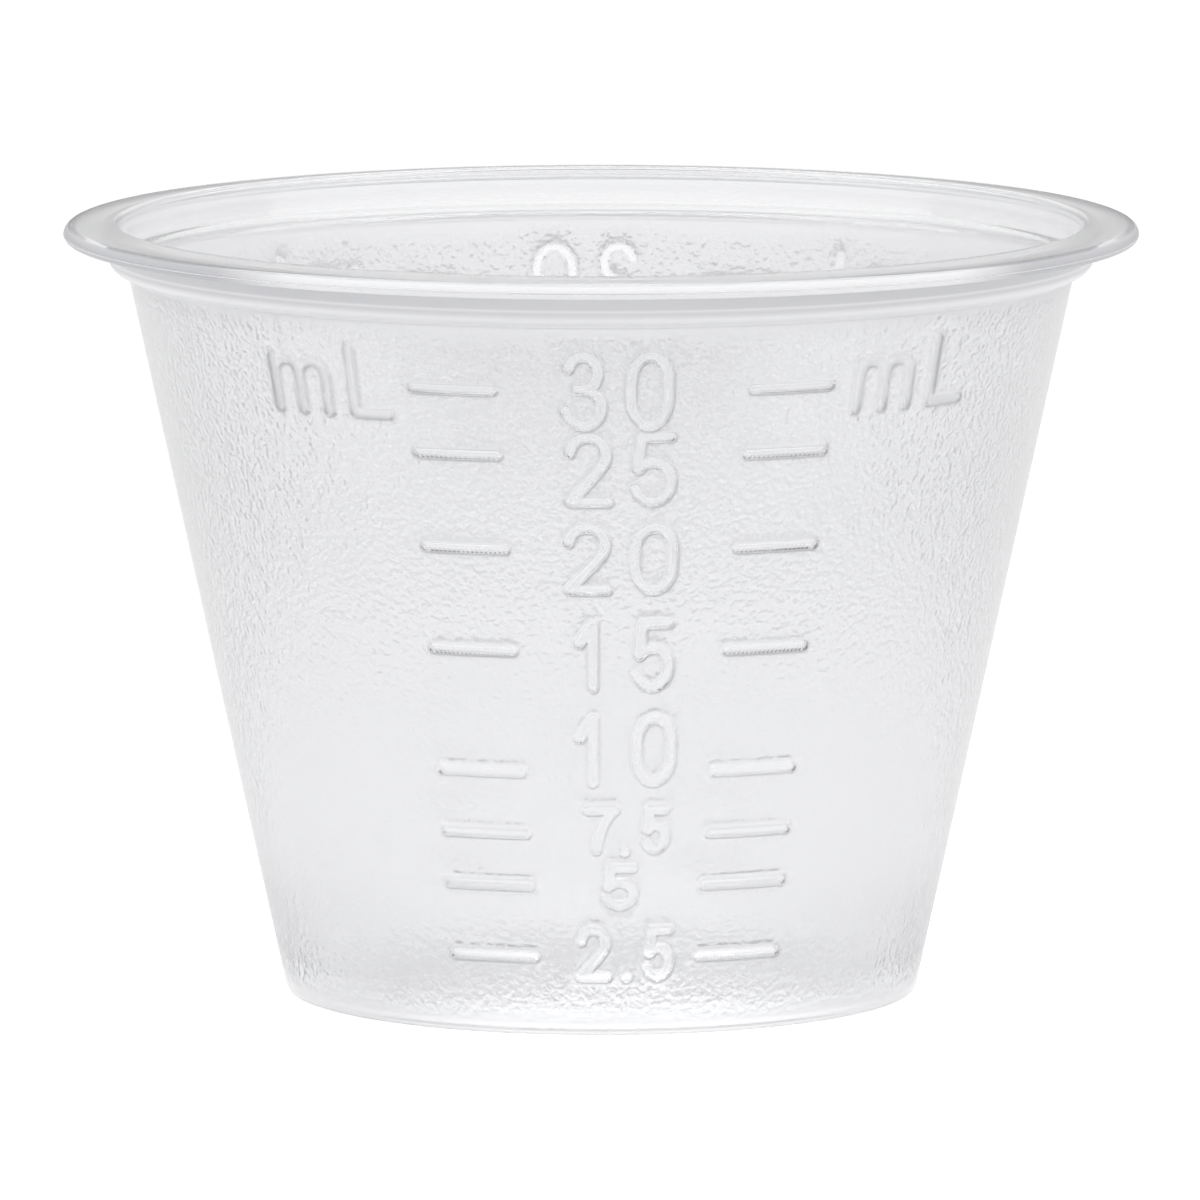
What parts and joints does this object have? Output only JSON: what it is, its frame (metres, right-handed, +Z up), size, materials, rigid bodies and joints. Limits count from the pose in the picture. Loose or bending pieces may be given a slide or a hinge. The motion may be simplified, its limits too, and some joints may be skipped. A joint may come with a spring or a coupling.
{
  "type": "medicine cup",
  "caption": "Small tapered disposable cup of thin clear plastic, with graduation ribs on the wall, a stepped shoulder and a flat rim, for measuring and giving liquid medicine.",
  "frame": {"origin": "centre of the flat base, on the surface the cup stands on", "axes": "+Z up along the cup's axis towards its mouth; one block of graduations faces -Y and the same block faces +Y"},
  "size_m": [0.0502, 0.0502, 0.0362],
  "materials": {
    "clear_polypropylene": "frosted clear polypropylene: fine pebble grain on the tapered wall, glossy rim, shoulder and numbers"
  },
  "bodies": {
    "root": {"medicine_cup": "clear_polypropylene"}
  },
  "joints": []
}
